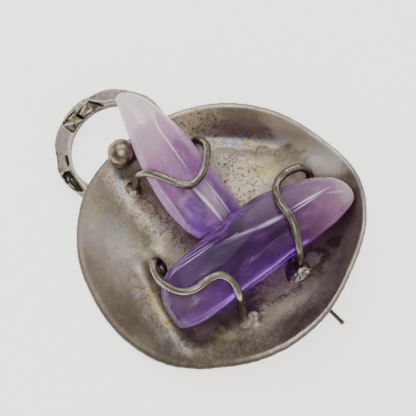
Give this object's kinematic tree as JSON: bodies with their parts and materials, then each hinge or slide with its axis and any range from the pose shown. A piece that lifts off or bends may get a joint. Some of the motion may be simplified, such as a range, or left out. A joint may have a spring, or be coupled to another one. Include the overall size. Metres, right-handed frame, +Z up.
{
  "type": "amethyst brooch",
  "caption": "Dished, folded silver plate with a hammered pendant ring, polished amethyst points held by bent wire claws, and a brooch pin behind.",
  "frame": {"origin": "centre of the brooch's plan, on the surface that it lies on", "axes": "+X from the pendant ring's side to the right rim, +Y to the top edge, +Z up out of the face"},
  "size_m": [0.0483, 0.0461, 0.0139],
  "materials": {
    "silver": "oxidised silver, rubbed bright on the high places",
    "pin_silver": "drawn silver wire, darkened",
    "amethyst_pale": "polished amethyst, pale at the tip",
    "amethyst_deep": "polished amethyst, deep violet"
  },
  "bodies": {
    "root": {"setting": "silver", "pin": "pin_silver", "stone_upper": "amethyst_pale", "stone_lower": "amethyst_deep"}
  },
  "joints": []
}
